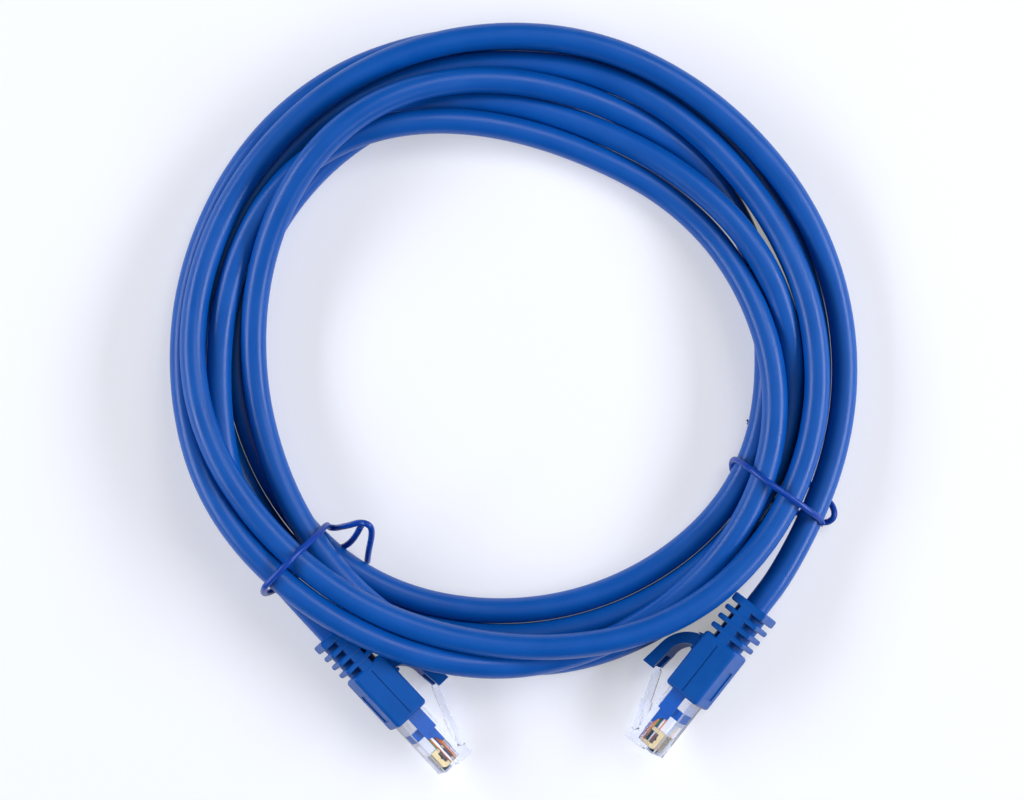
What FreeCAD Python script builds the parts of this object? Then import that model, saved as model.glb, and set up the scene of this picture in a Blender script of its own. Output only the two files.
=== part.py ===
"""Category 6 patch cable, 2.4 m, wound in a loose coil with a wire tie at each side.

Millimetres, +Z up.  The coil lies flat, its far side towards +Y, and both plugs lie
on their narrow sides at the near edge.  The origin is the middle of the whole box in
X and Y, on the surface that the cable rests on.

Each plug is made in its own axes: X towards the nose (0 at the nose face), Y across the
eight contacts (pin 1 at +Y), Z out of the contact face.  plug_frame() then lays it down.
"""
import FreeCAD
import Part
import math
import os

# Jacket and what it holds
jacket_diameter = 6.0
jacket_wall = 0.6
pair_diameter = 1.8
pair_offset = 1.47
filler_web = 0.2
filler_span = 4.6
wire_diameter = 0.9
copper_diameter = 0.5

# Coil: two layers of laps, read at the marks right, far, left and near of each turn
coil_centre = (-0.1, 11.05)
strand_gap = 0.5
layer_gap = 0.6
upper_edge = (78.1, 74.5, 73.5, 68.8)
upper_fan = (0.05, 0.7, 0.1, 0.1)
lower_edge = (72.0, 71.0, 78.0, 70.0)
lower_fan = (0.1, 2.2, 0.7, 0.25)
coil_marks = 23
climb_mark = 11
flat_depth = 0.2

# Twist ties
tie_diameter = 1.5
tie_core_diameter = 0.5
tie_clearance = 0.1
tie_left_angle = 222.5
tie_right_angle = -26.0
tie_loop_height = 21.2

# Plug body, as the modular jack standard gives it
plug_length = 21.5
plug_width = 11.68
plug_height = 6.6
plug_wall = 0.8
nose_wall = 0.7
nose_notch_length = 3.4
nose_notch_height = 2.6
pin_count = 8
pin_pitch = 1.02
row_odd = 0.3
row_even = -1.1
front_cavity_length = 9.4
front_cavity_top = 1.2
front_cavity_bottom = -2.0
wire_side_room = 0.42
rear_cavity_top = 1.3
rear_cavity_bottom = -2.6
window_length = 2.4
window_width = 7.6
fit = 0.05
front_cavity_width = (pin_count - 1) * pin_pitch + wire_diameter + 2 * wire_side_room

# Contacts
contact_thickness = 0.35
contact_length = 4.5
contact_front = 0.75
contact_recess = 0.55
contact_bar = 1.15
prong_width = 0.9
slot_width = 0.55
corner_cut = 0.6

# Load bar, which spaces the wires under the contacts
bar_front = 0.85
bar_back = 5.3
tongue_gap = 0.5

# Wires inside the plug: (across, height) half way and where they meet the jacket
wire_tip = 1.0
wire_stations = (10.4, 14.4, 19.0)
wire_bend = 4.0
wire_middle = ((2.6, 0.1), (2.1, -1.4), (1.0, 0.35), (0.5, -1.75),
               (-0.5, -1.1), (-1.9, 0.3), (-2.9, -0.6), (-2.6, -1.65))
wire_exit = ((1.47, 0.47), (1.47, -0.47), (0.47, 1.47), (0.47, -1.47),
             (-0.47, -1.47), (-0.47, 1.47), (-1.47, 0.47), (-1.47, -0.47))
mould_floor = -2.25
mould_front_room = (4.2, 0.85)
mould_rear_room = (3.6, 2.0)

# Latch
latch_width = 6.3
latch_tip_width = 3.3
latch_thickness = 1.3
latch_length = 15.1
latch_shoulder = 6.6
latch_rest_angle = 20.0
latch_pivot = (-2.3, -4.45)
foot_reach = 0.9
foot_back = 2.2
foot_drop = 1.75
hinge_gap = 0.15

# Boot, moulded over the plug's back and the cable
boot_front = 15.0
boot_body_length = 15.6
boot_width = 13.4
boot_height = 9.2
boot_round = 0.9
rib_count = 4
rib_thickness = 1.3
rib_gap = 1.3
end_rib_thickness = 2.1
rib_round = 0.5
spine_height = 3.0
sleeve_diameter = 7.8
panel_front = 2.6
panel_length = 8.2
panel_width = 6.8
panel_depth = 0.3
seam_width = 0.3
seam_depth = 0.2

# Hood over the latch, hinged where it leaves the boot
hood_width = 7.5
hood_root = (-27.0, 1.6)
hood_root_radius = 1.5
hood_tip_clearance = 0.5
hood_channel_width = 4.3
stub_front_height = 1.0
stub_rear_height = 1.6

# Where the plugs lie: nose position, heading, roll about the axis, side of the latch
plug_a = {"nose": (31.2, -81.5), "heading": -128.2, "roll": 20.0, "latch_left": False}
plug_b = {"nose": (-14.3, -85.4), "heading": -47.0, "roll": 14.3, "latch_left": True}

# Free stretches between boot and coil: straight lead at each end, and the points between
tail_a = {"boot_lead": 14.6, "coil_lead": 10.5, "middle": ((73.6, -22.2, 9.2),)}
tail_b = {"boot_lead": 16.0, "coil_lead": 10.0, "middle": ((-69.5, -28.1, 6.5), (-75.8, -17.3, 4.9))}

boot_length = (boot_body_length + rib_count * rib_gap
               + (rib_count - 1) * rib_thickness + end_rib_thickness)
boot_back = boot_front + boot_length
jacket_start = plug_length + 0.5
jacket_bore = jacket_diameter - 2 * jacket_wall
strand_pitch = jacket_diameter + strand_gap
layer_step = jacket_diameter + layer_gap
tie_room = tie_diameter + tie_clearance
half_width, half_height = plug_width / 2, plug_height / 2
boot_base = -boot_height / 2
pins = range(1, pin_count + 1)

V = FreeCAD.Vector
radii = {}


def box(x0, x1, y0, y1, z0, z1):
    """Block between two corners."""
    return Part.makeBox(x1 - x0, y1 - y0, z1 - z0, V(x0, y0, z0))


def block(x0, x1, width, z0, z1):
    """Block centred on y = 0."""
    return box(x0, x1, -width / 2, width / 2, z0, z1)


def cross_rod(x, z, radius, width):
    """Round rod along Y, centred on y = 0."""
    return Part.makeCylinder(radius, width, V(x, -width / 2, z), V(0, 1, 0))


def plate(outline, width):
    """Plate of an outline in the X-Z plane, given as points or edges, centred on y = 0."""
    if isinstance(outline[0], tuple):
        corners = [V(x, 0, z) for x, z in outline]
        outline = Part.makePolygon(corners + corners[:1]).Edges
    shape = Part.Face(Part.Wire(outline)).extrude(V(0, width, 0))
    shape.translate(V(0, -width / 2, 0))
    return shape


def tangent_arc(start, corner, end):
    """Arc from start to end, tangent at both to the lines that meet at corner."""
    middle = (start + end) * 0.5
    half = (end - start).Length / 2
    rise = corner - middle
    base_angle = math.atan2(rise.Length, half)
    top = middle + rise.normalize() * (half * math.tan(base_angle / 2))
    return Part.Arc(start, top, end).toShape(), half / math.sin(base_angle)


def rounded_route(points, name, bend=None):
    """Straight runs joined by tangent arcs, as large as the runs or the given bend allow."""
    edges = []
    last = points[0]
    for before, corner, after in zip(points, points[1:], points[2:]):
        back, ahead = before - corner, after - corner
        reach = 0.45 * min(back.Length, ahead.Length)
        if bend:
            half_turn = (math.pi - back.getAngle(ahead)) / 2
            reach = min(reach, bend * math.tan(half_turn))
        start = corner + back.normalize() * reach
        end = corner + ahead.normalize() * reach
        arc, radius = tangent_arc(start, corner, end)
        edges += [Part.makeLine(last, start), arc]
        radii.setdefault(name, []).append(radius)
        last = end
    return edges + [Part.makeLine(last, points[-1])]


def biarc(start, leave, end, arrive, name):
    """Two arcs from start to end that leave and arrive along the given directions."""
    chord = end - start
    lean = 2 * (1 - leave.dot(arrive))
    along = chord.dot(leave + arrive)
    reach = (math.sqrt(along * along + lean * chord.dot(chord)) - along) / lean
    first, second = start + leave * reach, end - arrive * reach
    joint = (first + second) * 0.5
    edges = []
    for a, corner, b in ((start, first, joint), (joint, second, end)):
        arc, radius = tangent_arc(a, corner, b)
        edges.append(arc)
        radii.setdefault(name, []).append(radius)
    return edges


def coil_mark(mark):
    """Radius and height of the cable's centre at one quarter-turn mark."""
    side = mark % 4
    if mark <= climb_mark:
        radius = upper_edge[side] - (mark // 4) * (strand_pitch + upper_fan[side])
    else:
        laps_outside = (coil_marks - 1 - mark) // 4
        radius = lower_edge[side] - laps_outside * (strand_pitch + lower_fan[side])
    layer = 1.0 if mark < climb_mark else 0.5 if mark == climb_mark else 0.0
    rest = -flat_depth if side == 1 else tie_room
    return radius, jacket_diameter / 2 + rest + layer * layer_step


def coil_stations():
    """Points and directions of the cable at the coil's marks."""
    marks = [coil_mark(m) for m in range(coil_marks)]
    quarter = math.pi / 2
    stations = []
    for m, (radius, height) in enumerate(marks):
        drift = climb = 0.0
        if 0 < m < coil_marks - 1:
            drift = (marks[m + 1][0] - marks[m - 1][0]) / 2 / quarter
            climb = (marks[m + 1][1] - marks[m - 1][1]) / 2 / quarter
        cos, sin = math.cos(m * quarter), math.sin(m * quarter)
        point = V(coil_centre[0] + radius * cos, coil_centre[1] + radius * sin, height)
        way = V(drift * cos - radius * sin, drift * sin + radius * cos, climb).normalize()
        stations.append((point, way))
    return stations


def coil_route():
    """Edges of the coil, with one straight diameter at each end."""
    stations = coil_stations()
    (first, first_way), (last, last_way) = stations[0], stations[-1]
    edges = [Part.makeLine(first - first_way * jacket_diameter, first)]
    for (start, leave), (end, arrive) in zip(stations, stations[1:]):
        edges += biarc(start, leave, end, arrive, "coil")
    return edges + [Part.makeLine(last, last + last_way * jacket_diameter)]


def end_of(edges, first):
    """Point and forward direction at the first or the last end of a route."""
    edge = edges[0] if first else edges[-1]
    at = edge.FirstParameter if first else edge.LastParameter
    return edge.valueAt(at), edge.tangentAt(at).normalize()


def cable_route(place_a, place_b):
    """Edges of the whole cable from plug A to plug B, section by section."""
    coil = coil_route()
    coil_start, way_in = end_of(coil, True)
    coil_stop, way_out = end_of(coil, False)
    sections = {"coil": coil}
    for letter, place, tail in (("a", place_a, tail_a), ("b", place_b, tail_b)):
        inner = place.multVec(V(-jacket_start, 0, 0))
        back = place.multVec(V(-boot_back, 0, 0))
        lead = place.multVec(V(-boot_back - tail["boot_lead"], 0, 0))
        near_boot = [back, lead] + [V(*point) for point in tail["middle"]]
        if letter == "a":
            points = near_boot + [coil_start - way_in * tail["coil_lead"], coil_start]
            sections["end_a"] = [Part.makeLine(inner, back)]
        else:
            points = [coil_stop, coil_stop + way_out * tail["coil_lead"]] + near_boot[::-1]
            sections["end_b"] = [Part.makeLine(back, inner)]
        sections["tail_" + letter] = rounded_route(points, "tail " + letter)
    return sections


def sweep(edges, profile):
    """Solid pipe of a closed profile along joined edges."""
    return Part.Wire(edges).makePipeShell([profile], True, False)


def rod(edges, diameter, aside=V(0, 0, 0)):
    """Round rod along a route, its axis moved aside by a vector at the route's start."""
    point, way = end_of(edges, True)
    return sweep(edges, Part.Wire(Part.makeCircle(diameter / 2, point + aside, way)))


def jacket_tube(edges):
    """Hollow jacket along a route."""
    return rod(edges, jacket_diameter).cut(rod(edges, jacket_bore))


def cross_filler(edges, across, up):
    """Cross-shaped filler that keeps the four pairs apart."""
    point, _ = end_of(edges, True)
    one, two = (across + up).normalize(), (across - up).normalize()
    near, far = filler_web / 2, filler_span / 2
    corners = []
    for a, b in ((one, two), (two, one * -1), (one * -1, two * -1), (two * -1, one)):
        corners += [point + a * far + b * near * -1, point + a * far + b * near,
                    point + a * near + b * near]
    corners = corners[-1:] + corners
    return sweep(edges, Part.makePolygon(corners))


def plug_frame(plug, lift=0.0):
    """Placement that lays a plug down at its nose position, heading and roll."""
    heading, roll = math.radians(plug["heading"]), math.radians(plug["roll"])
    forward = V(math.cos(heading), math.sin(heading), 0)
    left = V(-math.sin(heading), math.cos(heading), 0)
    latch_side = left if plug["latch_left"] else left * -1
    contact_way = latch_side * -math.cos(roll) + V(0, 0, math.sin(roll))
    across = contact_way.cross(forward)
    nose_x, nose_y = plug["nose"]
    return FreeCAD.Placement(FreeCAD.Matrix(
        forward.x, across.x, contact_way.x, nose_x,
        forward.y, across.y, contact_way.y, nose_y,
        forward.z, across.z, contact_way.z, lift,
        0, 0, 0, 1))


def laid(shape, place):
    """Copy of a plug piece, laid down with its plug."""
    return shape.transformed(place.Matrix, True)


def pin_place(pin):
    """Place across the plug and height of one wire: two staggered rows, pin 1 first."""
    return ((pin_count + 1) / 2 - pin) * pin_pitch, row_odd if pin % 2 else row_even


def slots(front, floor):
    """Cuts for the eight contacts, open at the contact face."""
    back = -contact_front - contact_length - fit
    cuts = [box(back, front, across - slot_width / 2, across + slot_width / 2, floor, half_height + 1)
            for across, _ in map(pin_place, pins)]
    return Part.makeCompound(cuts)


def housing():
    """Clear plug body: nose, contact slots, cavities, crimp window and latch foot."""
    notch_top = -half_height + nose_notch_height
    body = block(-plug_length, 0, plug_width, -half_height, half_height)
    body = body.cut(block(-nose_notch_length, 1, plug_width + 2, -half_height - 1, notch_top))
    body = body.fuse([block(-nose_notch_length - 1, 0, latch_width, -half_height, notch_top + 0.2),
                      block(-foot_back, foot_reach, latch_width, -half_height - foot_drop, notch_top)])
    body = body.cut([
        cross_rod(latch_pivot[0], latch_pivot[1], latch_thickness / 2 + hinge_gap, latch_width + 2),
        block(-front_cavity_length, -nose_wall, front_cavity_width, front_cavity_bottom, front_cavity_top),
        block(-plug_length - 1, -front_cavity_length, plug_width - 2 * plug_wall,
              rear_cavity_bottom, rear_cavity_top),
        block(-plug_length - 1, -boot_front, plug_width - 2 * plug_wall,
              rear_cavity_bottom, -rear_cavity_bottom),
        block(-front_cavity_length - window_length, -front_cavity_length, window_width,
              0, half_height + 1)])
    return body.cut(slots(1, front_cavity_top - 0.1)).removeSplitter()


def contact(pin):
    """Gold-plated blade with two prongs that pierce its wire down to the copper."""
    across, row = pin_place(pin)
    front, back = -contact_front, -contact_front - contact_length
    top = half_height - contact_recess
    bar = top - contact_bar
    tip = row + copper_diameter / 2 - fit
    shoulder = tip + 0.45
    middle = (front + back) / 2
    blade = plate(((back, top), (front - corner_cut, top), (front, top - corner_cut),
                   (front, shoulder), (front - prong_width / 2, tip), (front - prong_width, shoulder),
                   (front - prong_width, bar), (middle + 0.4, bar), (middle, bar + 0.3),
                   (middle - 0.4, bar), (back + prong_width, bar), (back + prong_width, shoulder),
                   (back + prong_width / 2, tip), (back, shoulder)), contact_thickness)
    blade.translate(V(0, across, 0))
    return blade


def wire(pin, blade):
    """Insulated wire from under its contact to the jacket, cut where the prongs pierce it."""
    across, row = pin_place(pin)
    first, second, third = wire_stations
    points = [V(-wire_tip, across, row), V(-first, across, row), V(-second, *wire_middle[pin - 1]),
              V(-third, *wire_exit[pin - 1]), V(-jacket_start, *wire_exit[pin - 1])]
    return rod(rounded_route(points, "wires", wire_bend), wire_diameter).cut(blade)


def wire_bores(length):
    """Straight bores for the eight wires, from the nose back."""
    return Part.makeCompound([Part.makeCylinder(wire_diameter / 2 + fit, length, V(0, *pin_place(pin)),
                                                V(-1, 0, 0)) for pin in pins])


def load_bar():
    """Clear bar with a bore for each wire and a slot for each contact."""
    bar = block(-bar_back, -bar_front, front_cavity_width - 2 * fit,
                front_cavity_bottom + fit, front_cavity_top - fit)
    return bar.cut(wire_bores(bar_back + 1)).cut(slots(1, row_even + copper_diameter / 2 - 2 * fit))


def inner_mould():
    """Strain relief moulded inside the plug, with a tongue that tapers towards the load bar."""
    width = plug_width - 2 * plug_wall - 2 * fit
    start, window = -front_cavity_length - fit, -front_cavity_length - window_length + fit
    top, bottom, tip = front_cavity_top - fit, front_cavity_bottom + fit, -bar_back - tongue_gap
    tongue = plate(((start - 1, bottom), (tip, bottom), (tip, bottom + 0.5), (tip - 2.0, bottom + 1.4),
                    (tip - 2.5, top), (start - 1, top)), front_cavity_width - 2 * fit)
    shape = block(-plug_length, start, width, rear_cavity_bottom + fit, rear_cavity_top - fit)
    shape = shape.fuse([block(-plug_length, -boot_front - fit, width, 0, -rear_cavity_bottom - fit),
                        block(window, start, window_width - 2 * fit, 0, half_height), tongue])
    front_width, front_top = 2 * mould_front_room[0], mould_front_room[1]
    rear_width, rear_top = 2 * mould_rear_room[0], mould_rear_room[1]
    return shape.cut([wire_bores(wire_stations[0]),
                      block(-wire_stations[1], -wire_stations[0] + 0.9, front_width, mould_floor, front_top),
                      block(-plug_length - 1, -wire_stations[1], rear_width, mould_floor, rear_top)])


def latch():
    """Sprung latch: wide near the nose, narrow past the locking shoulders."""
    half = latch_thickness / 2
    tip_round = latch_tip_width / 2
    shape = block(-latch_shoulder, 0, latch_width, -half, half).fuse([
        block(-latch_length + tip_round, -latch_shoulder, latch_tip_width, -half, half),
        Part.makeCylinder(tip_round, latch_thickness, V(-latch_length + tip_round, 0, -half)),
        cross_rod(0, 0, half, latch_width)]).removeSplitter()
    shape.rotate(V(0, 0, 0), V(0, 1, 0), -latch_rest_angle)
    shape.translate(V(latch_pivot[0], 0, latch_pivot[1]))
    return shape


def rounded_block(front, back, rounding):
    """Rounded block with the boot's outer section between two stations."""
    shape = block(-back, -front, boot_width, boot_base, -boot_base)
    return shape.makeFillet(rounding, shape.Edges)


def boot():
    """Moulded boot: body over the plug, ribs along the cable, bare panel and hood stub."""
    body_back = boot_front + boot_body_length
    pieces = [block(-boot_back + 0.3, -body_back + 1, boot_width - 0.2, -spine_height / 2, spine_height / 2),
              Part.makeCylinder(sleeve_diameter / 2, boot_back - body_back + 0.5,
                                V(-body_back + 0.5, 0, 0), V(-1, 0, 0))]
    front = body_back
    for rib in range(rib_count):
        front += rib_gap
        back = boot_back if rib == rib_count - 1 else front + rib_thickness
        pieces.append(rounded_block(front, back, rib_round))
        front = back
    x, reach = hood_root[0], hood_root_radius
    pieces.append(plate(((x - reach - 1.2, boot_base + 0.5), (x - reach - 0.4, boot_base - stub_rear_height),
                         (x, boot_base - stub_rear_height), (x, boot_base - stub_front_height),
                         (x + reach + 0.7, boot_base - stub_front_height),
                         (x + reach + 1.4, boot_base + 0.5)), hood_width))
    shape = rounded_block(boot_front, body_back, boot_round).fuse(pieces)
    seams = [box(-body_back + 1.5, -boot_front - 0.8, y - seam_depth, y + seam_depth,
                 -seam_width / 2, seam_width / 2) for y in (-boot_width / 2, boot_width / 2)]
    panel = -boot_front - panel_front
    return shape.cut([
        cross_rod(x, boot_base - hood_root[1], reach + hinge_gap, hood_width + 2),
        block(-plug_length - fit, -boot_front + 1, plug_width + 2 * fit, -half_height - fit, half_height + fit),
        Part.makeCylinder(jacket_diameter / 2 + fit, boot_length, V(-plug_length + 0.5, 0, 0), V(-1, 0, 0)),
        block(panel - panel_length, panel, panel_width, -boot_base - panel_depth, -boot_base + 1)]
        + seams).removeSplitter()


def hood():
    """Arched tongue that covers the latch tip and presses it, round at its hinge."""
    x, reach = hood_root[0], hood_root_radius
    axis = boot_base - hood_root[1]
    tip = -boot_front - 0.5

    def at(along, height):
        return V(along, 0, boot_base - height)

    outer_foot, inner_foot = V(x - reach, 0, axis), V(x + reach, 0, axis)
    outline = [Part.Arc(inner_foot, V(x, 0, axis + reach), outer_foot).toShape(),
               Part.Arc(outer_foot, at(x + 0.9, 5.1), at(x + 5.4, 7.2)).toShape(),
               Part.makeLine(at(x + 5.4, 7.2), at(tip, 8.1)),
               Part.makeLine(at(tip, 8.1), at(tip, 5.2)),
               Part.makeLine(at(tip, 5.2), at(x + 6.4, 4.6)),
               Part.Arc(at(x + 6.4, 4.6), at(x + 3.2, 3.7), inner_foot).toShape()]
    channel = block(-3.0, 4.0, hood_channel_width, -latch_thickness / 2 - hood_tip_clearance, 4.0)
    channel.translate(V(-latch_length, 0, 0))
    channel.rotate(V(0, 0, 0), V(0, 1, 0), -latch_rest_angle)
    channel.translate(V(latch_pivot[0], 0, latch_pivot[1]))
    return plate(outline, hood_width).cut(channel)


def bundle_reach(points, angle):
    """Least and greatest radius, and greatest height, of the cable's centre at one angle."""
    near = []
    for point in points:
        x, y = point.x - coil_centre[0], point.y - coil_centre[1]
        turn = (math.degrees(math.atan2(y, x)) - angle + 180) % 360 - 180
        if abs(turn) < 3:
            near.append((math.hypot(x, y), point.z))
    return min(r for r, _ in near), max(r for r, _ in near), max(z for _, z in near)


def tie_route(points, angle, name):
    """Route of a tie through points given as radius, way along the bundle, and height."""
    way = math.radians(angle)
    radial, aside = V(math.cos(way), math.sin(way), 0), V(-math.sin(way), math.cos(way), 0)
    centre = V(coil_centre[0], coil_centre[1], 0)
    bend = (jacket_diameter + tie_diameter) / 2 + tie_clearance
    return rounded_route([centre + radial * r + aside * b + V(0, 0, z) for r, b, z in points], name, bend)


def tie_pieces(cable_points):
    """Core and coat of both ties, wound round the bundle where it lies."""
    off = (jacket_diameter + tie_diameter) / 2 + tie_clearance
    low = tie_diameter / 2
    pieces = {}
    for side, angle in (("left", tie_left_angle), ("right", tie_right_angle)):
        near, far, height = bundle_reach(cable_points, angle)
        inner, outer, top = near - off, far + off, height + off
        if side == "left":
            loop = tie_loop_height - tie_diameter / 2
            points = ((inner - 6.2, 7.6, loop - 6.6), (inner - 0.6, 7.2, low + 3.2),
                      (inner + 3.4, 6.0, low), (outer, 1.6, low), (outer, 0.6, top),
                      (inner - 0.8, 0.2, top), (inner - 0.6, 2.2, top / 2 + 0.6),
                      (inner - 4.6, 4.0, loop - 5.6), (inner - 8.2, 5.4, loop),
                      (inner - 9.0, 8.8, loop - 1.4), (inner - 1.4, 13.4, low + 0.6))
        else:
            points = ((inner - 1.0, 9.8, low + 0.8), (inner + 3.2, 8.0, low), (outer - 3.0, 2.6, low),
                      (outer + 1.0, 1.2, low + 0.8), (outer + 2.4, -1.8, low + 3.0),
                      (outer + 1.0, -4.8, low + 0.8), (outer - 3.0, -4.6, low), (inner, -0.4, low),
                      (inner, 0.4, top), (outer, -2.2, top), (outer + 0.6, -3.4, top / 2 + 1.6),
                      (outer + 2.6, -5.2, top / 2 + 1.8))
        edges = tie_route(points, angle, "ties")
        core = rod(edges, tie_core_diameter)
        pieces["tie_%s_core" % side] = core
        pieces["tie_%s_coat" % side] = rod(edges, tie_diameter).cut(core)
    return pieces


def plug_pieces():
    """Pieces of one plug by name, in the plug's own axes."""
    pieces = {"housing": housing(), "latch": latch(), "load_bar": load_bar(),
              "inner_mould": inner_mould(), "boot": boot(), "hood": hood()}
    for pin in pins:
        blade = contact(pin)
        pieces["contact_%d" % pin] = blade
        pieces["wire_%d" % pin] = wire(pin, blade)
    return pieces


def resting(plug, pieces):
    """Placement of a plug that lies with its lowest point on the surface."""
    place = plug_frame(plug)
    lowest = min(laid(pieces[piece], place).optimalBoundingBox(False).ZMin
                 for piece in ("boot", "hood", "latch"))
    return plug_frame(plug, -lowest)


def sample(edges, step):
    """Points along a route, at most a step apart."""
    points = []
    for edge in edges:
        points += edge.discretize(max(2, int(edge.Length / step) + 2))[:-1]
    return points


def least_gap(edges, diameter, step=1.5):
    """Least gap of a tube to itself, between points over half a turn apart."""
    points = [(p.x, p.y, p.z) for p in sample(edges, step)]
    apart = int(150 / step)
    least = min((p[0] - q[0]) ** 2 + (p[1] - q[1]) ** 2 + (p[2] - q[2]) ** 2
                for i, p in enumerate(points) for q in points[i + apart:])
    return math.sqrt(least) - diameter


def build():
    """Every piece of the cable by name, and the routes of its sections."""
    pieces = plug_pieces()
    place_a, place_b = resting(plug_a, pieces), resting(plug_b, pieces)
    sections = cable_route(place_a, place_b)
    coil = jacket_tube(sections["coil"])
    below = box(-200, 200, -200, 200, -10, 0)
    nodes = {"jacket_coil": coil.cut(below)}
    for section in ("end_a", "tail_a", "tail_b", "end_b"):
        nodes["jacket_" + section] = jacket_tube(sections[section])
    whole = sum((sections[s] for s in ("end_a", "tail_a", "coil", "tail_b", "end_b")), [])
    across, up = (place_a.Rotation.multVec(way) for way in (V(0, 1, 0), V(0, 0, 1)))
    for colour, aside in (("orange", across), ("green", up), ("blue", up * -1), ("brown", across * -1)):
        nodes["pair_" + colour] = rod(whole, pair_diameter, aside * pair_offset)
    nodes["cross_filler"] = cross_filler(whole, across, up)
    nodes.update(tie_pieces(sample(whole, 1.0)))
    for letter, place in (("a", place_a), ("b", place_b)):
        for piece, shape in pieces.items():
            nodes["plug_%s_%s" % (letter, piece)] = laid(shape, place)
    return nodes, sections


def main():
    """Write one file per piece and print the sizes that the cable has to keep."""
    nodes, sections = build()
    os.makedirs("parts", exist_ok=True)
    for name, shape in nodes.items():
        shape.exportStep("parts/%s.step" % name)
    corners = [p for shape in nodes.values() for p in shape.tessellate(0.05)[0]]
    print("%d pieces" % len(nodes))
    for axis in "xyz":
        reach = [getattr(p, axis) for p in corners]
        print("box %s: %.2f to %.2f" % (axis, min(reach), max(reach)))
    for name, sizes in radii.items():
        print("bend radii of %s: %.1f to %.1f" % (name, min(sizes), max(sizes)))
    print("least gap of the coil to itself: %.2f" % least_gap(sections["coil"], jacket_diameter))
    section = math.pi / 4 * (jacket_diameter ** 2 - jacket_bore ** 2)
    for name, edges in sections.items():
        length = sum(edge.Length for edge in edges)
        share = nodes["jacket_" + name].Volume / (section * length)
        print("%s: length %.1f, volume over section times length %.4f" % (name, length, share))


if __name__ == "__main__":
    main()
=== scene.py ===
"""Category 6 patch cable in a loose coil: finishes, cord, ties and studio round the CAD frame.

Metres, +Z up, in the CAD frame.  Sizes are written in millimetres and scaled by MM.
"""
import logging
import math
from dataclasses import dataclass
from enum import Enum

import bpy
from mathutils import Matrix, Vector


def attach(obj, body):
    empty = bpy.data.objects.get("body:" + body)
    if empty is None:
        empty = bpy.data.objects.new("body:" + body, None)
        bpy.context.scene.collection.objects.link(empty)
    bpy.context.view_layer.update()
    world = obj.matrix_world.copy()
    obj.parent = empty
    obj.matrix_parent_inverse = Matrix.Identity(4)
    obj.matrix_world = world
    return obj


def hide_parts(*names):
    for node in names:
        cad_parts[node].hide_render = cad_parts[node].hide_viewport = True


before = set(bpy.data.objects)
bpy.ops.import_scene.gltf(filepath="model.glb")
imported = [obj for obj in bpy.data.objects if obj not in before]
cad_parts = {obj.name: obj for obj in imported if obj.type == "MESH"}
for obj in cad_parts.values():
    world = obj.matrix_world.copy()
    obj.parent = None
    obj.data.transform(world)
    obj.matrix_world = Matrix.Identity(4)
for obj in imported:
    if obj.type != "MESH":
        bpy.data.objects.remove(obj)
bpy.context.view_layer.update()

MM = 0.001
PINS = range(1, 9)
JACKET_DIAMETER = 6.0
WIRE_SIDES = 16
JACKET_SIDES = 14
PVC_IOR = 1.53
POLYCARBONATE_IOR = 1.585
POLYETHYLENE_IOR = 1.51
log = logging.getLogger("patch_cable")

Pair = tuple[float, float]
Triple = tuple[float, float, float]


def srgb(hex_code: str) -> tuple[float, float, float, float]:
    """Turn an sRGB hex code into a linear colour.

    Args:
        hex_code: six hex digits, with or without a hash.

    Returns:
        Linear red, green, blue and an alpha of 1.
    """
    digits = hex_code.lstrip("#")
    parts = [int(digits[i:i + 2], 16) / 255 for i in (0, 2, 4)]
    linear = [c / 12.92 if c <= 0.04045 else ((c + 0.055) / 1.055) ** 2.4 for c in parts]
    return (linear[0], linear[1], linear[2], 1.0)


def add_node(tree: bpy.types.NodeTree, kind: str, settings: dict[str, object] | None = None,
             sockets: dict[int | str, object] | None = None) -> bpy.types.Node:
    """Add one node, with its settings, its fixed values and its links.

    Args:
        tree: the node tree that takes the node.
        kind: the node's type identifier.
        settings: attributes to set on the node.
        sockets: a value or a linked output socket for each input, by name or place.

    Returns:
        The new node.
    """
    node = tree.nodes.new(kind)
    for key, value in (settings or {}).items():
        setattr(node, key, value)
    for key, value in (sockets or {}).items():
        if isinstance(value, bpy.types.NodeSocket):
            tree.links.new(value, node.inputs[key])
        else:
            node.inputs[key].default_value = value
    return node


def new_material(name: str) -> tuple[bpy.types.Material, bpy.types.NodeTree]:
    """Make an empty node material.

    Args:
        name: the material's name.

    Returns:
        The material and its node tree.
    """
    material = bpy.data.materials.new(name)
    material.use_nodes = True
    material.node_tree.nodes.clear()
    return material, material.node_tree


def dress(node_names: list[str], material: bpy.types.Material) -> None:
    """Give CAD nodes a material, in their own slots.

    Args:
        node_names: names of the CAD nodes.
        material: the finish that they take.
    """
    for name in node_names:
        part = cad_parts[name]
        if not part.material_slots:
            part.data.materials.append(material)
        for slot in part.material_slots:
            slot.material = material


class Letter(Enum):
    """The cable's two plugs."""

    A = "a"
    B = "b"


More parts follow.
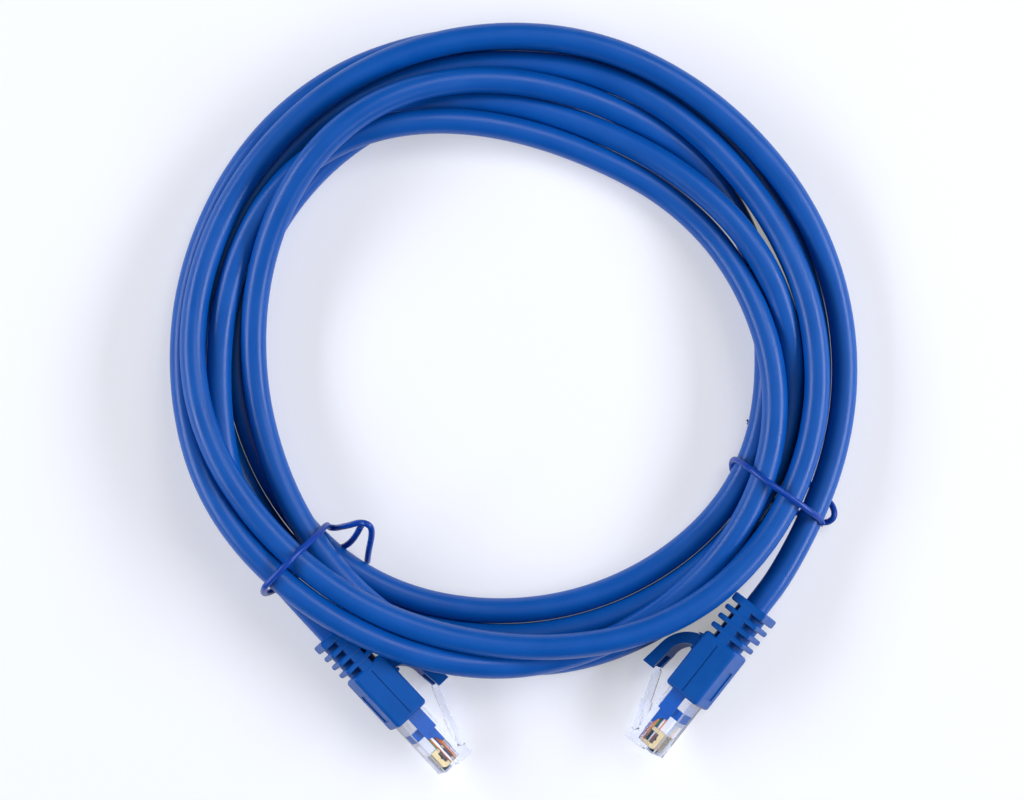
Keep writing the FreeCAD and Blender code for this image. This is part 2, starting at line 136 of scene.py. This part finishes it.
@dataclass(frozen=True)
class SoftPlastic:
    """Flexible PVC with a fine grain: a skin that is softly blotched, more glossy where it is smooth."""

    name: str
    deep: str
    light: str
    roughness: float
    spread: float
    grain: float
    grain_depth: float
    cloud: float
    shine: float = 0.36

    def material(self) -> bpy.types.Material:
        """Build the material.

        Returns:
            The node material.
        """
        made, tree = new_material(self.name)
        place = add_node(tree, "ShaderNodeTexCoord").outputs["Object"]
        cloud = add_node(tree, "ShaderNodeTexNoise", None,
                         {"Vector": place, "Scale": 1 / (self.cloud * MM), "Detail": 3.0})
        tint = add_node(tree, "ShaderNodeMix", {"data_type": "RGBA"},
                        {0: cloud.outputs["Fac"], 6: srgb(self.deep), 7: srgb(self.light)})
        grain = add_node(tree, "ShaderNodeTexNoise", None,
                         {"Vector": place, "Scale": 1 / (self.grain * MM), "Detail": 2.0})
        gloss = add_node(tree, "ShaderNodeMapRange", None,
                         {"Value": cloud.outputs["Fac"], "From Min": 0.3, "From Max": 0.7,
                          "To Min": self.roughness - self.spread, "To Max": self.roughness + self.spread})
        bump = add_node(tree, "ShaderNodeBump", None,
                        {"Strength": 1.0, "Distance": self.grain_depth * MM, "Height": grain.outputs["Fac"]})
        shader = add_node(tree, "ShaderNodeBsdfPrincipled", None,
                          {"Base Color": tint.outputs[2], "Roughness": gloss.outputs[0],
                           "Normal": bump.outputs[0], "IOR": PVC_IOR,
                           "Specular IOR Level": self.shine})
        add_node(tree, "ShaderNodeOutputMaterial", None, {"Surface": shader.outputs[0]})
        return made


@dataclass(frozen=True)
class ClearPlastic:
    """Moulded polycarbonate: clear as glass, with flow ripples too slight to see but in its gloss."""

    name: str
    tint: str
    roughness: float
    ripple: float
    ripple_depth: float

    def material(self) -> bpy.types.Material:
        """Build the material.

        Returns:
            The node material.
        """
        made, tree = new_material(self.name)
        place = add_node(tree, "ShaderNodeTexCoord").outputs["Object"]
        ripple = add_node(tree, "ShaderNodeTexNoise", None,
                          {"Vector": place, "Scale": 1 / (self.ripple * MM), "Detail": 2.0})
        bump = add_node(tree, "ShaderNodeBump", None,
                        {"Strength": 1.0, "Distance": self.ripple_depth * MM, "Height": ripple.outputs["Fac"]})
        gloss = add_node(tree, "ShaderNodeMapRange", None,
                         {"Value": ripple.outputs["Fac"], "To Min": self.roughness * 0.5,
                          "To Max": self.roughness * 1.5})
        shader = add_node(tree, "ShaderNodeBsdfPrincipled", None,
                          {"Base Color": srgb(self.tint), "Roughness": gloss.outputs[0],
                           "Normal": bump.outputs[0], "IOR": POLYCARBONATE_IOR,
                           "Transmission Weight": 1.0})
        add_node(tree, "ShaderNodeOutputMaterial", None, {"Surface": shader.outputs[0]})
        return made


@dataclass(frozen=True)
class PlatedMetal:
    """Metal with fine drawn lines and small dull spots."""

    name: str
    colour: str
    dull: str
    roughness: float
    line: float
    metallic: float = 1.0

    def material(self) -> bpy.types.Material:
        """Build the material.

        Returns:
            The node material.
        """
        made, tree = new_material(self.name)
        place = add_node(tree, "ShaderNodeTexCoord").outputs["Object"]
        lines = add_node(tree, "ShaderNodeTexNoise", None,
                         {"Vector": place, "Scale": 1 / (self.line * MM), "Detail": 4.0})
        tint = add_node(tree, "ShaderNodeMix", {"data_type": "RGBA"},
                        {0: lines.outputs["Fac"], 6: srgb(self.colour), 7: srgb(self.dull)})
        gloss = add_node(tree, "ShaderNodeMapRange", None,
                         {"Value": lines.outputs["Fac"], "To Min": self.roughness * 0.7,
                          "To Max": self.roughness * 1.4})
        bump = add_node(tree, "ShaderNodeBump", None,
                        {"Strength": 1.0, "Distance": 0.004 * MM, "Height": lines.outputs["Fac"]})
        shader = add_node(tree, "ShaderNodeBsdfPrincipled", None,
                          {"Base Color": tint.outputs[2], "Metallic": self.metallic,
                           "Roughness": gloss.outputs[0], "Normal": bump.outputs[0]})
        add_node(tree, "ShaderNodeOutputMaterial", None, {"Surface": shader.outputs[0]})
        return made


@dataclass(frozen=True)
class PlugPlace:
    """Where a plug lies: its axes are X to the nose, Y across the contacts, Z out of the contact face."""

    nose: Triple
    forward: Triple
    across: Triple
    out: Triple

    def turn(self) -> Matrix:
        """Return the plug's axes as the columns of a matrix."""
        return Matrix((self.forward, self.across, self.out)).transposed()

    def point(self, x: float, y: float = 0.0, z: float = 0.0) -> Vector:
        """Turn a place in the plug's axes, in millimetres, into a point of the scene.

        Args:
            x: place towards the nose.
            y: place across the contacts.
            z: place out of the contact face.

        Returns:
            The point in metres.
        """
        return (Vector(self.nose) + self.turn() @ Vector((x, y, z))) * MM


# Copied from part.py, which works them out from each plug's nose, heading, roll and rest
PLUG_PLACES = {
    Letter.A: PlugPlace((31.2, -81.5, 7.8675), (-0.618408, -0.785857, 0.0),
                        (0.268779, -0.211508, -0.939693), (0.738464, -0.581114, 0.342020)),
    Letter.B: PlugPlace((-14.3, -85.4, 7.5206), (0.681998, -0.731354, 0.0),
                        (0.180644, 0.168453, 0.969016), (-0.708693, -0.660867, 0.246999)),
}


@dataclass(frozen=True)
class StripedInsulation:
    """Polyethylene on a wire, plain or white with a stripe of its pair's colour along it.

    The stripe is all that lies above stripe_height, in millimetres, in the plug's own axes.
    """

    name: str
    ground: str
    stripe: str
    place: PlugPlace
    stripe_height: float

    def material(self) -> bpy.types.Material:
        """Build the material.

        Returns:
            The node material.
        """
        made, tree = new_material(self.name)
        place = add_node(tree, "ShaderNodeTexCoord").outputs["Object"]
        turn = self.place.turn().transposed()
        back = turn @ Vector(self.place.nose) * -MM
        in_plug = add_node(tree, "ShaderNodeMapping", {"vector_type": "POINT"},
                           {"Vector": place, "Location": back, "Rotation": turn.to_euler()})
        split = add_node(tree, "ShaderNodeSeparateXYZ", None, {"Vector": in_plug.outputs[0]})
        grain = add_node(tree, "ShaderNodeTexNoise", None, {"Vector": place, "Scale": 1 / (0.5 * MM)})
        edge = add_node(tree, "ShaderNodeMapRange", {"interpolation_type": "SMOOTHSTEP"},
                        {"Value": split.outputs["Z"], "From Min": (self.stripe_height - 0.03) * MM,
                         "From Max": (self.stripe_height + 0.03) * MM})
        tint = add_node(tree, "ShaderNodeMix", {"data_type": "RGBA"},
                        {0: edge.outputs[0], 6: srgb(self.ground), 7: srgb(self.stripe)})
        gloss = add_node(tree, "ShaderNodeMapRange", None,
                         {"Value": grain.outputs["Fac"], "To Min": 0.32, "To Max": 0.46})
        bump = add_node(tree, "ShaderNodeBump", None,
                        {"Strength": 1.0, "Distance": 0.006 * MM, "Height": grain.outputs["Fac"]})
        shader = add_node(tree, "ShaderNodeBsdfPrincipled", None,
                          {"Base Color": tint.outputs[2], "Roughness": gloss.outputs[0],
                           "Normal": bump.outputs[0], "IOR": POLYETHYLENE_IOR, "Subsurface Weight": 0.15,
                           "Subsurface Scale": 0.4 * MM})
        add_node(tree, "ShaderNodeOutputMaterial", None, {"Surface": shader.outputs[0]})
        return made


@dataclass
class CoilRoute:
    """The cable's line: radius and height of its centre, in millimetres, every ten degrees.

    The turns follow the photograph, crossing by crossing. Where turns rest on each other
    their jackets overlap by up to 0.05 mm.
    The stations are not worked out here by a loop: they were traced from the photograph, a
    chain of scratch programs then moved them apart, and the last result was pasted in.
    They start behind boot A and end behind boot B, and the line runs straight into both.
    boot_stations are places of the straight ends in a boot, from its plug's nose.
    """

    centre: Pair = (-0.08, 11.25)
    first_angle: float = -40.0
    step: float = 10.0
    boot_stations: Triple = (-24.0, -33.0, -42.0)
    stations: tuple[Pair, ...] = (
        (81.9, 7.7), (80.3, 6.9), (79.6, 6.0), (79.0, 5.1), (78.3, 4.7), (77.5, 5.0),
        (76.6, 6.0), (75.6, 7.3), (74.7, 8.3), (74.3, 8.8), (74.2, 9.0), (74.3, 9.0),
        (74.3, 9.0), (74.2, 9.0), (74.2, 9.0), (74.3, 8.9), (74.4, 8.5), (74.5, 8.2),
        (74.6, 8.1), (74.9, 8.2), (75.1, 8.8), (75.2, 10.0), (75.0, 11.9), (74.3, 14.2),
        (73.0, 15.7), (71.4, 16.2), (70.1, 16.1), (69.1, 16.2), (68.5, 16.1), (68.1, 15.6),
        (68.1, 15.2), (68.7, 15.0), (69.8, 14.9), (71.3, 14.7), (72.7, 14.2), (73.6, 13.4),
        (73.7, 12.2), (73.5, 11.2), (73.0, 10.5), (72.2, 10.0), (71.2, 9.4), (70.1, 9.0),
        (68.8, 8.6), (67.9, 8.0), (67.4, 7.3), (67.5, 6.5), (67.9, 5.6), (68.3, 4.5),
        (68.4, 3.4), (68.3, 3.0), (68.7, 3.0), (69.5, 3.0), (70.5, 3.0), (71.1, 3.0),
        (71.4, 3.0), (71.7, 3.0), (71.9, 3.0), (72.0, 3.0), (71.9, 3.0), (71.5, 3.2),
        (71.0, 3.6), (70.7, 4.2), (70.6, 4.5), (70.3, 4.4), (69.7, 4.0), (68.8, 3.4),
        (67.9, 3.1), (67.4, 3.0), (67.1, 3.0), (67.0, 3.0), (67.1, 3.1), (67.4, 3.6),
        (67.8, 4.1), (67.9, 4.5), (67.7, 4.9), (66.9, 5.6), (65.6, 6.7), (64.1, 8.1),
        (62.2, 9.1), (60.2, 8.9), (58.3, 7.6), (57.0, 5.9), (56.2, 4.3), (56.1, 3.3),
        (56.9, 3.0), (58.5, 3.0), (60.2, 3.0), (61.7, 3.0), (62.6, 3.0), (63.0, 3.0),
        (63.4, 3.0), (63.9, 3.0), (64.5, 3.0), (65.0, 3.0), (65.3, 3.0), (65.3, 3.2),
        (64.9, 3.6), (64.6, 4.2), (64.4, 4.5), (64.2, 4.4), (63.6, 4.0), (62.8, 3.4),
        (61.9, 3.1), (61.3, 3.0), (61.0, 3.0), (60.9, 3.0), (61.0, 3.1), (61.3, 3.6),
        (61.7, 4.1), (61.8, 4.5), (61.4, 4.5), (60.6, 4.0), (60.1, 3.5), (60.3, 3.1),
        (61.1, 3.0), (62.0, 3.0), (62.5, 3.0), (62.5, 3.0), (62.2, 3.1), (62.2, 4.0),
        (62.6, 5.5), (63.5, 7.2), (64.6, 9.3), (65.4, 11.7), (65.8, 13.9), (65.4, 15.0),
        (64.5, 14.5), (63.4, 12.4), (62.3, 10.1), (61.5, 8.3), (61.0, 7.5), (61.0, 7.6),
        (61.4, 8.6), (62.4, 9.9), (63.9, 10.6), (65.8, 10.5), (68.0, 10.0), (70.0, 9.7),
        (72.2, 7.6), (73.6, 5.0), (74.1, 3.5), (73.9, 3.0), (73.4, 3.1), (73.5, 3.6),
        (73.8, 4.1), (74.0, 4.5), (73.7, 4.5), (73.0, 4.0), (72.3, 3.5), (71.6, 3.1),
        (71.2, 3.0), (71.2, 3.0), (71.7, 3.0), (72.5, 3.0), (73.4, 3.0), (74.2, 3.0),
        (74.5, 3.0), (74.4, 3.0), (74.7, 3.0), (75.7, 3.0), (76.8, 3.0), (77.6, 3.0),
        (77.9, 3.0), (77.9, 3.0), (77.9, 3.2), (78.0, 4.1), (78.0, 5.9), (78.0, 8.6),
        (78.0, 12.0), (77.4, 14.5), (76.3, 15.8), (75.2, 16.6), (74.5, 16.4), (74.2, 15.2),
        (74.0, 13.4), (73.6, 11.3), (72.7, 9.4), (71.4, 8.5), (70.1, 8.5), (68.8, 9.4),
        (67.6, 10.3), (66.2, 10.5), (64.5, 10.4), (62.4, 10.1), (60.1, 9.7), (57.8, 8.7),
        (55.8, 7.1), (54.1, 5.3), (52.5, 3.9), (51.2, 3.2), (50.2, 3.0), (50.1, 3.0),
        (50.9, 3.4), (52.5, 4.5), (54.8, 6.1), (57.7, 7.8), (60.9, 9.0), (64.0, 9.0),
        (66.4, 8.3), (67.7, 7.9), (68.2, 7.8), (68.5, 8.0), (69.0, 8.5), (69.9, 9.1),
        (71.7, 9.8), (73.9, 9.5), (76.0, 8.3), (76.9, 7.4),
    )

    def turns(self) -> list[Vector]:
        """Return the points of the turns, from boot A to boot B, in metres."""
        points = []
        for index, (radius, height) in enumerate(self.stations):
            angle = math.radians(self.first_angle + index * self.step)
            points.append(Vector((self.centre[0] + radius * math.cos(angle),
                                  self.centre[1] + radius * math.sin(angle), height)) * MM)
        return points

    def points(self) -> list[Vector]:
        """Return the whole line's control points, with its straight ends in the boots."""
        into_a = [PLUG_PLACES[Letter.A].point(x) for x in self.boot_stations]
        into_b = [PLUG_PLACES[Letter.B].point(x) for x in self.boot_stations]
        return into_a + self.turns() + into_b[::-1]

    def across(self, angle: float) -> list[Pair]:
        """Find where the turns pass one angle.

        Args:
            angle: the angle round the coil, in degrees.

        Returns:
            Radius and height of each turn there, in millimetres.
        """
        passes = []
        place = (angle - self.first_angle) % 360.0 / self.step
        while place < len(self.stations) - 1:
            low, part = int(place), place % 1.0
            (r0, z0), (r1, z1) = self.stations[low], self.stations[low + 1]
            passes.append((r0 + (r1 - r0) * part, z0 + (z1 - z0) * part))
            place += 360.0 / self.step
        return passes


@dataclass
class Cable:
    """The jacketed cable as one cord."""

    route: CoilRoute
    diameter: float = JACKET_DIAMETER
    finish: SoftPlastic = SoftPlastic(
        # PVC jacket, extruded: semi-gloss blue, soft highlights along it, a faint drag of the die
        "extruded_pvc_jacket", deep="#004E9E", light="#005AAE", roughness=0.35, spread=0.05,
        grain=0.35, grain_depth=0.012, cloud=9.0)

    def build(self) -> bpy.types.Object:
        """Returns:
            The cord.
        """
        points = self.route.points()
        curve = bpy.data.curves.new("patch_cord", "CURVE")
        curve.dimensions = "3D"
        curve.resolution_u = 6
        curve.render_resolution_u = 6
        curve.bevel_depth = self.diameter / 2 * MM
        curve.bevel_resolution = JACKET_SIDES
        curve.use_fill_caps = True
        spline = curve.splines.new("NURBS")
        spline.points.add(len(points) - 1)
        for knot, point in zip(spline.points, points):
            knot.co = (*point, 1.0)
        spline.order_u = 3
        spline.use_endpoint_u = True
        cord = bpy.data.objects.new("patch_cord", curve)
        bpy.context.scene.collection.objects.link(cord)
        curve.materials.append(self.finish.material())
        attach(cord, "cable")
        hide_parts("jacket_coil", "jacket_tail_a", "jacket_tail_b", "jacket_end_a", "jacket_end_b",
                    "pair_orange", "pair_green", "pair_blue", "pair_brown", "cross_filler")
        tuple(PLUG_PLACES[Letter.A].point(-42.0))
        log.info("cord with %d points", len(points))
        return cord


@dataclass
class TwistTie:
    """A plastic-coated wire, wrapped once or more round the bundle and bent up at its ends.

    Points are (distance in from the bundle's inner side, distance along the bundle, height).
    wrap is the first and last angle of the turn round the section, 0 outwards and 90 up, and
    along is where it lies along the bundle at its start, middle and end.
    """

    name: str
    angle: float
    head: tuple[Triple, ...]
    wrap: Pair
    along: Triple
    tail: tuple[Triple, ...]
    coat_diameter: float = 1.5
    core_diameter: float = 0.5
    bare_end: float = 0.7
    clearance: float = 0.08
    wrap_step: float = 30.0

    def line(self, route: CoilRoute) -> list[Vector]:
        """Lay the tie's control points round the bundle.

        Args:
            route: the line of the cable in the bundle.

        Returns:
            The control points, in metres.
        """
        cores = route.across(self.angle)
        reach = (JACKET_DIAMETER + self.coat_diameter) / 2 + self.clearance
        inner = min(radius for radius, _ in cores) - reach
        first, last = self.wrap
        steps = round(abs(last - first) / self.wrap_step)
        around = []
        for index in range(steps + 1):
            part = index / steps
            radius, height = self.corner(cores, reach, first + (last - first) * part)
            half = min(int(part * 2), 1)
            start, stop = self.along[half:half + 2]
            along = start + (stop - start) * (part * 2 - half)
            around.append((radius, along, height))
        places = ([(inner - r, b, z) for r, b, z in self.head] + around
                  + [(inner - r, b, z) for r, b, z in self.tail])
        turned = Matrix.Rotation(math.radians(self.angle), 3, "Z")
        centre = Vector((*route.centre, 0.0))
        return [(centre + turned @ Vector(place)) * MM for place in places]

    def corner(self, cores: list[Pair], reach: float, angle: float) -> Pair:
        """Find a corner of the outline that the tie is pulled round.

        Args:
            cores: radius and height of each strand.
            reach: distance from a strand's centre to the tie's.
            angle: direction of the corner in the section, 0 outwards and 90 up.

        Returns:
            Radius and height of the corner.
        """
        half = math.radians(self.wrap_step / 2)
        rows = []
        for turn in (-half, half):
            way = math.radians(angle) + turn
            normal = (math.cos(way), math.sin(way))
            rows.append((normal, max(r * normal[0] + z * normal[1] for r, z in cores) + reach))
        (a, b), (c, d) = rows[0][0], rows[1][0]
        cross = a * d - b * c
        radius = (rows[0][1] * d - rows[1][1] * b) / cross
        height = (rows[1][1] * a - rows[0][1] * c) / cross
        return radius, max(height, self.coat_diameter / 2)

    def build(self, route: CoilRoute, sweep: bpy.types.NodeTree, coat: bpy.types.Material,
              core: bpy.types.Material) -> None:
        """Make the tie's coat and core.

        Args:
            route: the line of the cable in the bundle.
            sweep: the node tree that sweeps a wire along a curve.
            coat: finish of the plastic.
            core: finish of the steel wire.
        """
        points = self.line(route)
        for part, diameter, trim, finish, slot in (
                ("coat", self.coat_diameter, self.bare_end, coat, "tie_coat"),
                ("core", self.core_diameter, 0.0, core, "tie_wire")):
            piece = swept_wire(f"{self.name}_{part}_wound", points, diameter, trim, sweep, finish)
            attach(piece, "cable")
            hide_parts(f"{self.name}_{part}")
            log.info("%s with %d faces", piece.name, len(piece.data.polygons))


def wire_sweep_tree() -> bpy.types.NodeTree:
    """Build the node tree that sweeps a round wire along a curve, cut short at both ends.

    Returns:
        The tree, with Radius, Trim, Sides and Material as named inputs.
    """
    tree = bpy.data.node_groups.new("wire_sweep", "GeometryNodeTree")
    for name, kind in (("Geometry", "NodeSocketGeometry"), ("Radius", "NodeSocketFloat"),
                       ("Trim", "NodeSocketFloat"), ("Sides", "NodeSocketInt"),
                       ("Material", "NodeSocketMaterial")):
        tree.interface.new_socket(name, in_out="INPUT", socket_type=kind)
    tree.interface.new_socket("Geometry", in_out="OUTPUT", socket_type="NodeSocketGeometry")
    given = add_node(tree, "NodeGroupInput").outputs
    length = add_node(tree, "GeometryNodeCurveLength", None, {"Curve": given["Geometry"]})
    end = add_node(tree, "ShaderNodeMath", {"operation": "SUBTRACT"},
                   {0: length.outputs[0], 1: given["Trim"]})
    cut = add_node(tree, "GeometryNodeTrimCurve", {"mode": "LENGTH"},
                   {"Curve": given["Geometry"], 4: given["Trim"], 5: end.outputs[0]})
    ring = add_node(tree, "GeometryNodeCurvePrimitiveCircle", None,
                    {"Resolution": given["Sides"], "Radius": given["Radius"]})
    swept = add_node(tree, "GeometryNodeCurveToMesh", None,
                     {"Curve": cut.outputs[0], "Profile Curve": ring.outputs[0], "Fill Caps": True})
    smooth = add_node(tree, "GeometryNodeSetShadeSmooth", None, {"Geometry": swept.outputs[0]})
    real = add_node(tree, "GeometryNodeRealizeInstances", None, {"Geometry": smooth.outputs[0]})
    painted = add_node(tree, "GeometryNodeSetMaterial", None,
                       {"Geometry": real.outputs[0], "Material": given["Material"]})
    add_node(tree, "NodeGroupOutput", None, {"Geometry": painted.outputs[0]})
    return tree


def swept_wire(name: str, points: list[Vector], diameter: float, trim: float,
               sweep: bpy.types.NodeTree, finish: bpy.types.Material) -> bpy.types.Object:
    """Sweep a wire along a smooth line as a plain mesh.

    Args:
        name: the new object's name.
        points: control points of the line, in metres.
        diameter: the wire's diameter, in millimetres.
        trim: how far short of each end it stops, in millimetres.
        sweep: the node tree that sweeps it.
        finish: its material.

    Returns:
        The wire.
    """
    curve = bpy.data.curves.new(name, "CURVE")
    curve.dimensions = "3D"
    curve.resolution_u = 8
    spline = curve.splines.new("NURBS")
    spline.points.add(len(points) - 1)
    for knot, point in zip(spline.points, points):
        knot.co = (*point, 1.0)
    spline.order_u = 3
    spline.use_endpoint_u = True
    guide = bpy.data.objects.new(name + "_guide", curve)
    bpy.context.scene.collection.objects.link(guide)
    modifier = guide.modifiers.new("wire sweep", "NODES")
    modifier.node_group = sweep
    inputs = {item.name: item.identifier for item in sweep.interface.items_tree
              if item.item_type == "SOCKET" and item.in_out == "INPUT"}
    for key, value in (("Radius", diameter / 2 * MM), ("Trim", trim * MM), ("Sides", WIRE_SIDES),
                       ("Material", finish)):
        modifier[inputs[key]] = value
    graph = bpy.context.evaluated_depsgraph_get()
    mesh = bpy.data.meshes.new_from_object(guide.evaluated_get(graph), depsgraph=graph)
    mesh.name = name
    guide.modifiers.remove(modifier)
    bpy.data.objects.remove(guide)
    piece = bpy.data.objects.new(name, mesh)
    bpy.context.scene.collection.objects.link(piece)
    return piece


@dataclass
class Plug:
    """One moulded plug: its CAD nodes take their finishes."""

    letter: Letter
    place: PlugPlace
    boot: bpy.types.Material
    clear: bpy.types.Material
    gold: bpy.types.Material

    def build(self) -> None:
        """Dress the plug's CAD nodes."""
        prefix = f"plug_{self.letter.value}_"
        dress([prefix + part for part in ("boot", "hood", "inner_mould")], self.boot)
        clear_parts = [prefix + part for part in ("housing", "latch", "load_bar")]
        dress(clear_parts, self.clear)
        for name in clear_parts:
            # clear plastic lets the lamps' light through to the wires and contacts in it
            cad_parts[name].visible_shadow = False
        dress([f"{prefix}contact_{pin}" for pin in PINS], self.gold)
        for pin in PINS:
            dress([f"{prefix}wire_{pin}"], self.insulation(pin).material())
        log.info("plug %s dressed", self.letter.name)

    def insulation(self, pin: int) -> StripedInsulation:
        """Choose a wire's colours by its pin, as the cabling standard orders them.

        Args:
            pin: the contact's number, 1 to 8.

        Returns:
            The wire's finish.
        """
        name, colour = PAIR_OF_PIN[pin]
        if pin % 2:
            return StripedInsulation(f"polyethylene_white_{name}_{self.letter.value}", "#EDE6DC", colour,
                                     self.place, 0.45)
        return StripedInsulation(f"polyethylene_{name}_{self.letter.value}", colour, colour, self.place, 9.0)


PAIR_OF_PIN = {1: ("orange", "#E07A2C"), 2: ("orange", "#E07A2C"), 3: ("green", "#2F8F45"),
               4: ("blue", "#2B55C0"), 5: ("blue", "#2B55C0"), 6: ("green", "#2F8F45"),
               7: ("brown", "#C07A4A"), 8: ("brown", "#C07A4A")}

TIES = (
    TwistTie("tie_left", 222.5,
             head=((7.4, 6.0, 15.0), (4.0, 7.2, 9.6), (0.4, 7.2, 4.0)),
             wrap=(-120.0, 180.0), along=(6.0, 1.6, 0.4),
             tail=((0.6, 1.2, 4.6), (1.6, 2.4, 4.6), (3.2, 3.2, 8.4), (5.2, 4.2, 13.4), (8.0, 5.4, 18.8),
                   (9.2, 7.6, 19.4), (7.6, 9.4, 15.0), (3.6, 11.8, 7.0), (1.4, 13.4, 1.3))),
    TwistTie("tie_right", -26.0,
             head=((1.0, 9.8, 1.6), (-1.2, 9.2, 0.9), (-6.0, 7.2, 0.75), (-16.0, 3.6, 0.75), (-23.0, 1.6, 0.8),
                   (-26.0, 0.6, 2.6), (-27.6, -1.8, 4.2), (-26.4, -4.2, 2.6), (-22.0, -4.8, 0.8)),
             wrap=(270.0, 60.0), along=(-4.6, 0.8, -3.2),
             tail=((-25.0, -4.0, 8.6), (-25.2, -5.2, 8.8))),
)


@dataclass(frozen=True)
class Softbox:
    """One area lamp, aimed at a point on the floor."""

    name: str
    place: Triple
    size: Pair
    power: float
    colour: str = "#FFFFFF"

    def build(self) -> None:
        """Make the lamp."""
        lamp = bpy.data.lights.new(self.name, "AREA")
        lamp.shape = "RECTANGLE"
        lamp.size, lamp.size_y = self.size
        lamp.energy = self.power
        lamp.color = srgb(self.colour)[:3]
        holder = bpy.data.objects.new(self.name, lamp)
        holder.location = self.place
        holder.rotation_euler = (-Vector(self.place)).to_track_quat("-Z", "Y").to_euler()
        bpy.context.scene.collection.objects.link(holder)


@dataclass
class Studio:
    """White floor, softboxes and the camera straight above the coil."""

    camera_place: Triple = (-0.00032, -0.00014, 0.650)
    lens: float = 96.3
    floor_side: float = 6.0
    floor_colour: str = "#FFFFFF"
    floor_glow: float = 0.32
    sky: float = 0.1
    lamps: tuple[Softbox, ...] = (
        Softbox("key_upper_right", (0.75, 0.9, 1.4), (0.8, 0.8), 7.5),
        Softbox("box_left", (-1.25, 0.1, 0.72), (1.5, 0.42), 19.0, "#E2E8FF"),
        Softbox("box_right", (1.25, -0.1, 0.72), (1.5, 0.42), 22.0, "#E2E8FF"),
        Softbox("overhead", (0.0, 0.0, 2.2), (1.8, 1.8), 3.0),
    )

    def build(self) -> None:
        """Make the camera, the floor, the lamps and the sky."""
        scene = bpy.context.scene
        camera = bpy.data.cameras.new("camera")
        camera.lens = self.lens
        camera.sensor_fit = "HORIZONTAL"
        camera.sensor_width = 36.0
        camera.clip_start, camera.clip_end = 0.01, 20.0
        holder = bpy.data.objects.new("camera", camera)
        holder.location = self.camera_place
        scene.collection.objects.link(holder)
        scene.camera = holder
        for lamp in self.lamps:
            lamp.build()
        self.floor()
        world = bpy.data.worlds.new("sky")
        scene.world = world
        world.use_nodes = True
        world.node_tree.nodes.clear()
        light = add_node(world.node_tree, "ShaderNodeBackground", None,
                         {"Color": (1.0, 1.0, 1.0, 1.0), "Strength": self.sky})
        add_node(world.node_tree, "ShaderNodeOutputWorld", None, {"Surface": light.outputs[0]})
        scene.view_settings.view_transform = "Standard"
        log.info("studio with %d lamps", len(self.lamps))

    def floor(self) -> None:
        """Make the floor: white paper that glows a little where it is seen, and keeps the soft shadow."""
        mesh = bpy.data.meshes.new("floor")
        half = self.floor_side / 2
        mesh.from_pydata([(-half, -half, 0), (half, -half, 0), (half, half, 0), (-half, half, 0)], [],
                         [(0, 1, 2, 3)])
        paper, tree = new_material("white_paper_floor")
        shade = add_node(tree, "ShaderNodeBsdfDiffuse", None, {"Color": srgb(self.floor_colour)})
        glow = add_node(tree, "ShaderNodeEmission", None, {"Color": (1.0, 1.0, 1.0, 1.0), "Strength": 1.0})
        path = add_node(tree, "ShaderNodeLightPath")
        seen = add_node(tree, "ShaderNodeMath", {"operation": "MAXIMUM"},
                        {0: path.outputs["Is Camera Ray"], 1: path.outputs["Is Glossy Ray"]})
        seen = add_node(tree, "ShaderNodeMath", {"operation": "MAXIMUM"},
                        {0: seen.outputs[0], 1: path.outputs["Is Transmission Ray"]})
        share = add_node(tree, "ShaderNodeMath", {"operation": "MULTIPLY"},
                         {0: seen.outputs[0], 1: self.floor_glow})
        mixed = add_node(tree, "ShaderNodeMixShader", None,
                         {0: share.outputs[0], 1: shade.outputs[0], 2: glow.outputs[0]})
        add_node(tree, "ShaderNodeOutputMaterial", None, {"Surface": mixed.outputs[0]})
        mesh.materials.append(paper)
        ground = bpy.data.objects.new("floor", mesh)
        bpy.context.scene.collection.objects.link(ground)


# Boots, hoods and the strain reliefs in the plugs, flexible PVC from a spark-eroded mould: satin, with
# less shine than the jacket
BOOT_FINISH = SoftPlastic("moulded_pvc_boot", deep="#004C96", light="#0058A8", roughness=0.42, spread=0.05,
                          grain=0.22, grain_depth=0.012, cloud=5.0, shine=0.16)
# Plug bodies, latches and load bars, polycarbonate from a polished mould: clear, with bright edges
CLEAR_FINISH = ClearPlastic("clear_polycarbonate", tint="#F4F7FF", roughness=0.03, ripple=3.0,
                            ripple_depth=0.0015)
# Contacts, phosphor bronze plated with thin gold: pale yellow, half dulled, fine stamping lines
GOLD_FINISH = PlatedMetal("gold_plated_bronze", colour="#F8E6B4", dull="#E2C684", roughness=0.4, line=0.3,
                           metallic=0.7)
# Coat of the ties, soft PVC: glossy, darker than the jacket
TIE_COAT = SoftPlastic("soft_pvc_tie_coat", deep="#053A94", light="#0A48A8", roughness=0.3, spread=0.05,
                       grain=0.3, grain_depth=0.01, cloud=3.0)
# Wire in the ties, galvanised steel: dull grey with drawn lines
TIE_STEEL = PlatedMetal("galvanised_steel_wire", colour="#8C9096", dull="#5C6066", roughness=0.4, line=0.2)


def main() -> None:
    """Build the scene, piece by piece."""
    logging.basicConfig(level=logging.INFO, format="%(name)s: %(message)s")
    Studio().build()
    route = CoilRoute()
    Cable(route).build()
    sweep, coat, steel = wire_sweep_tree(), TIE_COAT.material(), TIE_STEEL.material()
    for tie in TIES:
        tie.build(route, sweep, coat, steel)
    boot, clear, gold = BOOT_FINISH.material(), CLEAR_FINISH.material(), GOLD_FINISH.material()
    for letter, place in PLUG_PLACES.items():
        Plug(letter, place, boot, clear, gold).build()


if __name__ == "__main__":
    main()
